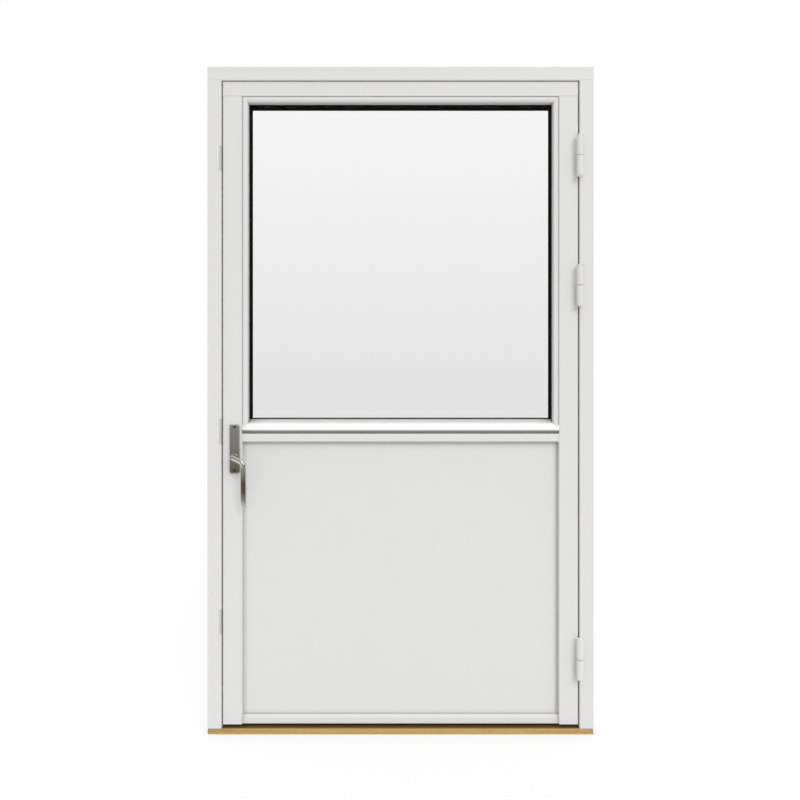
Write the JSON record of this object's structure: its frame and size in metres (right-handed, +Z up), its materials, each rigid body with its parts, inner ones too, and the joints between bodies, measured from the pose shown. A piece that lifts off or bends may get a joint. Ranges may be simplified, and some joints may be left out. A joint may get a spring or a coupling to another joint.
{
  "type": "glazed balcony door in its frame",
  "caption": "White timber door in its frame, glazed above and panelled below, side hung, with lever handle, edge bolts and oak threshold.",
  "frame": {"origin": "middle of the threshold's underside, mid-width and mid-depth of the frame", "axes": "+X right seen from the room, +Y from the room to the weather side, +Z up"},
  "size_m": [1.18, 0.1655, 2.04],
  "materials": {
    "painted_timber": "sprayed white paint, satin",
    "painted_board": "sprayed white paint, satin",
    "panel_core": "raw wood fibre board",
    "oak": "oiled oak",
    "aluminium": "natural anodised",
    "black_rubber": "matt",
    "clear_glass": "float glass",
    "black_spacer": "matt black",
    "sealant": "matt black",
    "setting_plastic": "moulded",
    "zinc_steel": "zinc plated",
    "screw_steel": "zinc plated",
    "white_hinge": "white powder coat",
    "pin_steel": "drawn",
    "washer_steel": "turned",
    "satin_nickel": "satin nickel"
  },
  "bodies": {
    "frame": {"frame_head": "painted_timber", "frame_jamb_left": "painted_timber", "frame_jamb_right": "painted_timber", "threshold": "oak", "threshold_rail": "aluminium", "frame_seal": "black_rubber", "frame_screws": "screw_steel", "strike_top": "zinc_steel", "strike_middle": "zinc_steel", "strike_bottom": "zinc_steel", "strike_screws": "screw_steel", "hinge_frame_top": "white_hinge", "hinge_frame_middle": "white_hinge", "hinge_frame_bottom": "white_hinge", "hinge_pin_top": "pin_steel", "hinge_pin_middle": "pin_steel", "hinge_pin_bottom": "pin_steel", "hinge_washers": "washer_steel", "hinge_caps_lower": "white_hinge", "hinge_frame_screws": "screw_steel"},
    "leaf": {"leaf_stile_left": "painted_timber", "leaf_stile_right": "painted_timber", "leaf_top_rail": "painted_timber", "leaf_mid_rail": "painted_timber", "leaf_bottom_rail": "painted_timber", "pane_inner": "clear_glass", "pane_middle": "clear_glass", "pane_outer": "clear_glass", "spacer_inner": "black_spacer", "spacer_outer": "black_spacer", "edge_seal": "sealant", "gasket_inner": "black_rubber", "gasket_outer": "black_rubber", "setting_blocks": "setting_plastic", "bead_top": "painted_timber", "bead_left": "painted_timber", "bead_right": "painted_timber", "bead_sill": "painted_timber", "panel_skin_inner": "painted_board", "panel_core": "panel_core", "panel_skin_outer": "painted_board", "drip_bar": "aluminium", "hinge_leaf_top": "white_hinge", "hinge_leaf_middle": "white_hinge", "hinge_leaf_bottom": "white_hinge", "hinge_caps_upper": "white_hinge", "hinge_leaf_screws": "screw_steel", "lock_faceplate": "zinc_steel", "lock_case": "zinc_steel", "faceplate_screws": "screw_steel", "handle_plate": "satin_nickel", "handle_screws": "screw_steel"},
    "lock_rod": {"lock_rod": "zinc_steel"},
    "lock_bolts": {"lock_bolt_top": "zinc_steel", "lock_bolt_middle": "zinc_steel", "lock_bolt_bottom": "zinc_steel"},
    "handle": {"handle_lever": "satin_nickel", "handle_spindle": "pin_steel", "lock_pinion": "zinc_steel"}
  },
  "joints": [
    {"name": "leaf_swing", "type": "hinge", "parent": "frame", "child": "leaf", "pos_m": [0.54575, -0.0685, 0], "axis": [0, 0, 1], "range_deg": [0, 170]},
    {"name": "handle_turn", "type": "hinge", "parent": "leaf", "child": "handle", "pos_m": [-0.50675, -0.0615, 0.8475], "axis": [0, -1, 0], "range_deg": [0, 90]},
    {"name": "rod_slide", "type": "slide", "parent": "leaf", "child": "lock_rod", "axis": [0, 0, -1], "range_m": [0, 0.01509]},
    {"name": "bolt_slide", "type": "slide", "parent": "leaf", "child": "lock_bolts", "axis": [1, 0, 0], "range_m": [0, 0.01301]}
  ],
  "couplings": [
    {"joint": "rod_slide", "follows": "handle_turn", "m_per_rad": 0.0096},
    {"joint": "bolt_slide", "follows": "handle_turn", "m_per_rad": 0.0082761}
  ]
}
